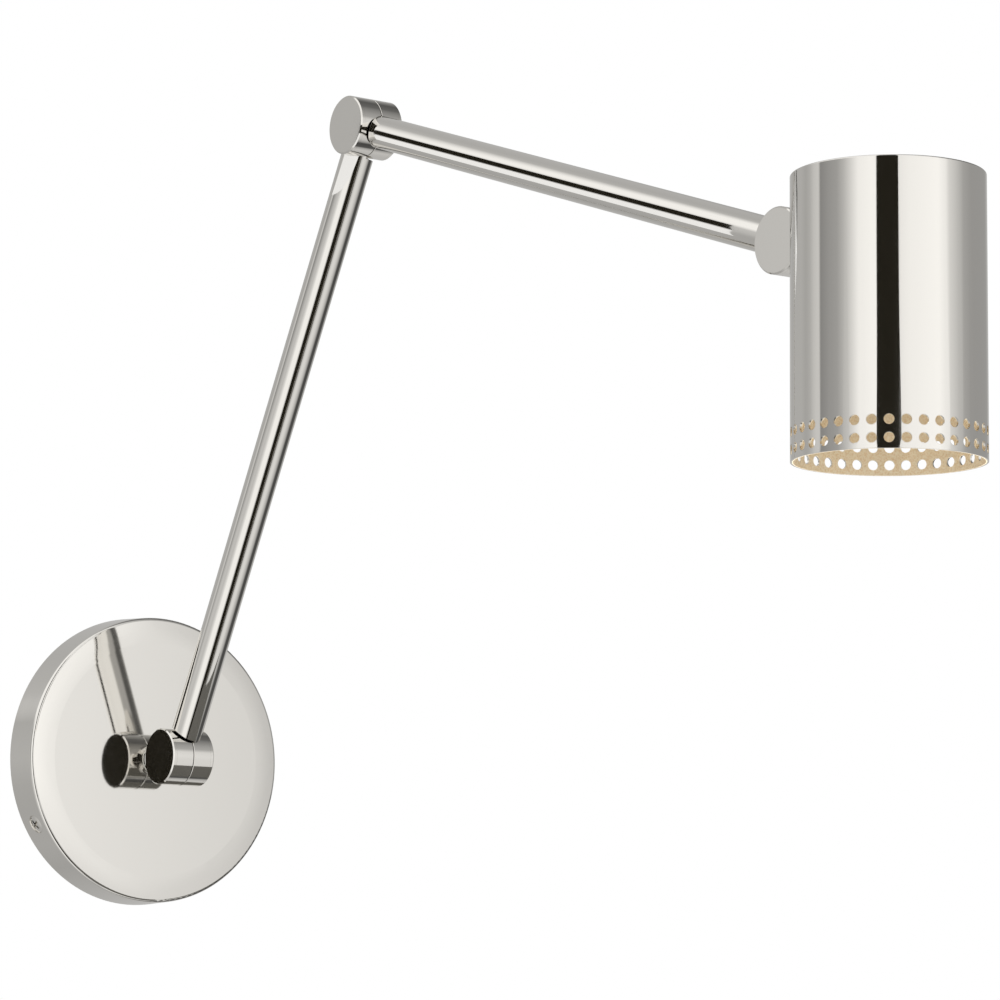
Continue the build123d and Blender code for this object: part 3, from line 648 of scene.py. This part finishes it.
# %% Make the shade's finish
SHADE_WALL = 0.001
COAT_DEPTH = SHADE_WALL * 0.6
GOLD = (0.82, 0.64, 0.40, 1.0)
GOLD_PALE = (0.96, 0.86, 0.67, 1.0)
GOLD_METALNESS = 0.35
GOLD_ROUGHNESS = 0.38
FLECK_ROUGHER = 0.15
GRAIN_SIZE = {"Scale": 2200.0, "Detail": 2.0, "Roughness": 0.7}
FLECK_SCALE = 1500.0
FLECK_WEIGHT = 0.6
FLECK_RANGE = (0.5, 0.95)

shade_finish = nickel("shade_nickel_and_gold", centre=shade_axis, smooth=0.04, haze_scale=28.0)
tree = shade_finish.node_tree
shader = tree.nodes["Principled BSDF"]
outside_colour = shader.inputs["Base Color"].links[0].from_socket
outside_rough = shader.inputs["Roughness"].links[0].from_socket
vector = part_vector(tree, shade_axis)
x, y, z = add(tree, "ShaderNodeSeparateXYZ", {0: vector}).outputs
flat = add(tree, "ShaderNodeCombineXYZ", {0: x, 1: y}).outputs[0]
from_axis = add(tree, "ShaderNodeVectorMath", {0: flat}, operation="LENGTH").outputs["Value"]
within = math_node(tree, "LESS_THAN", from_axis, shade_radius - COAT_DEPTH)
below_top = math_node(tree, "LESS_THAN", z, (shade_high.z - shade_low.z) / 2 - COAT_DEPTH)
inside = math_node(tree, "MULTIPLY", within, below_top)
speckle = add(tree, "ShaderNodeTexNoise", {"Vector": vector, **GRAIN_SIZE}).outputs[0]
cells = add(tree, "ShaderNodeTexVoronoi", {"Vector": vector, "Scale": FLECK_SCALE}).outputs["Distance"]
flecks = math_node(tree, "MULTIPLY_ADD", cells, FLECK_WEIGHT, speckle)
fleck_mask = rescale(tree, flecks, *FLECK_RANGE)
gold = mix_colour(tree, fleck_mask, GOLD, GOLD_PALE)
gold_rough = math_node(tree, "MULTIPLY_ADD", fleck_mask, FLECK_ROUGHER, GOLD_ROUGHNESS)
tree.links.new(mix_colour(tree, inside, outside_colour, gold), shader.inputs["Base Color"])
tree.links.new(mix_value(tree, inside, outside_rough, gold_rough), shader.inputs["Roughness"])
tree.links.new(mix_value(tree, inside, 1.0, GOLD_METALNESS), shader.inputs["Metallic"])
print("shade finish mixes at radius", round(shade_radius - COAT_DEPTH, 5))

# %% [markdown]
# ## Plain finishes for the small parts
#
# Nuts, washers and sheet brackets are zinc plated, with the blotchy grain that zinc has. The
# lampholder is moulded resin, the bulb is frosted glass on a brass base, and the wires are
# satin plastic. Each gets a colour that varies a little and its own roughness and relief,
# because an even colour never looks like a real surface.

# %% Build the grain group
BLOTCH_RANGE = (0.35, 0.65)
PITS_TO_BLOTCHES = 6.0

grain, given, result = new_group("fine_grain", [("Vector", None), ("Scale", 300.0)], ["Blotch", "Height"])
blotch = add(
    grain,
    "ShaderNodeTexNoise",
    {"Vector": given.outputs["Vector"], "Scale": given.outputs["Scale"], "Detail": 5.0, "Distortion": 0.6},
)
fine = math_node(grain, "MULTIPLY", given.outputs["Scale"], PITS_TO_BLOTCHES)
pits = add(grain, "ShaderNodeTexNoise", {"Vector": given.outputs["Vector"], "Scale": fine, "Detail": 2.0})
grain.links.new(rescale(grain, blotch.outputs[0], *BLOTCH_RANGE), result.inputs["Blotch"])
grain.links.new(pits.outputs[0], result.inputs["Height"])
print("group", grain.name)

# %% Make the small finishes
SMALL_WORN_RADIUS = 0.0004
SMALL_WORN_TINT = 0.5
SMALL_RELIEF_DEPTH = 0.0001
GLASS_TRANSMISSION = 0.55
GLASS_IOR = 1.46


def plain(name, dark, light, rough, metallic=0.0, scale=300.0, relief=0.1):
    """A finish that drifts between two colours, with fine relief and paler edges."""
    material, tree, shader = new_material(name)
    grained = group_node(tree, grain, {"Vector": part_vector(tree), "Scale": scale})
    blotches = grained.outputs["Blotch"]
    body = mix_colour(tree, blotches, (*dark, 1.0), (*light, 1.0))
    worn = group_node(tree, edges, {"Radius": SMALL_WORN_RADIUS}).outputs["Edge"]
    rub = math_node(tree, "MULTIPLY", worn, SMALL_WORN_TINT)
    tree.links.new(mix_colour(tree, rub, body, (*light, 1.0)), shader.inputs["Base Color"])
    tree.links.new(rescale(tree, blotches, 0.0, 1.0, *rough), shader.inputs["Roughness"])
    sockets = {"Height": grained.outputs["Height"], "Strength": relief, "Distance": SMALL_RELIEF_DEPTH}
    tree.links.new(add(tree, "ShaderNodeBump", sockets).outputs[0], shader.inputs["Normal"])
    shader.inputs["Metallic"].default_value = metallic
    return material


zinc = plain("zinc_plate", (0.55, 0.56, 0.57), (0.68, 0.69, 0.70), (0.22, 0.38), 1.0, 500.0)
sheet_zinc = plain("zinc_sheet", (0.58, 0.58, 0.55), (0.70, 0.70, 0.66), (0.28, 0.42), 1.0, 120.0)
green_zinc = plain("green_dyed_zinc", (0.04, 0.22, 0.07), (0.08, 0.34, 0.12), (0.3, 0.4), 0.8, 400.0)
brass = plain("plain_brass", (0.72, 0.52, 0.22), (0.83, 0.64, 0.33), (0.2, 0.34), 1.0, 350.0)
resin = plain("moulded_resin", (0.018, 0.015, 0.013), (0.035, 0.03, 0.026), (0.25, 0.4), 0.0, 250.0)
nylon = plain("natural_nylon", (0.78, 0.76, 0.69), (0.86, 0.85, 0.79), (0.4, 0.5), 0.0, 200.0)
fibre = plain("red_fibre", (0.28, 0.07, 0.05), (0.38, 0.12, 0.08), (0.6, 0.75), 0.0, 900.0, 0.3)
wire = plain("wire_plastic", (0.012, 0.012, 0.012), (0.03, 0.03, 0.03), (0.3, 0.4), 0.0, 150.0)
frost = plain("frosted_glass", (0.90, 0.90, 0.88), (0.96, 0.96, 0.94), (0.32, 0.42), 0.0, 700.0, 0.05)
frost_shader = frost.node_tree.nodes["Principled BSDF"]
frost_shader.inputs["Transmission Weight"].default_value = GLASS_TRANSMISSION
frost_shader.inputs["IOR"].default_value = GLASS_IOR
print("small finishes ready")

# %% [markdown]
# ## Dress the frame
#
# The CAD nodes keep their shapes, so each only needs its finish put in its material slot.
# The names tell what a node is: a tube takes its own arm's nickel, a drum or a cap takes its
# knuckle's, and the hidden fasteners take zinc.

# %% Put each finish in its slot
SPECIAL = {
    "canopy": canopy_nickel,
    "canopy_screws": neck_nickel,
    "swivel_neck": neck_nickel,
    "shade_collar": neck_nickel,
    "lower_arm_tube": lower_nickel,
    "upper_arm_tube": upper_nickel,
    "shade": shade_finish,
    "mounting_plate": sheet_zinc,
    "lamp_bracket": sheet_zinc,
    "ground_screw": green_zinc,
    "swivel_bush": nylon,
    "swivel_friction_washer": nylon,
    "lampholder": resin,
    "lampholder_stud": brass,
    "bulb_base": brass,
    "bulb_glass": frost,
}


def finish_for(name):
    """The finish of a node, from its name."""
    if name in SPECIAL:
        return SPECIAL[name]
    if name.endswith(("_drum", "_cap")):
        return knuckle_nickels[name.split("_")[0]]
    if name.endswith("_friction_disc"):
        return fibre
    if name.endswith("_leads"):
        return wire
    return zinc


for name, part in nodes.items():
    for slot in part.material_slots:
        slot.material = finish_for(name)
print("dressed", len(nodes), "nodes")
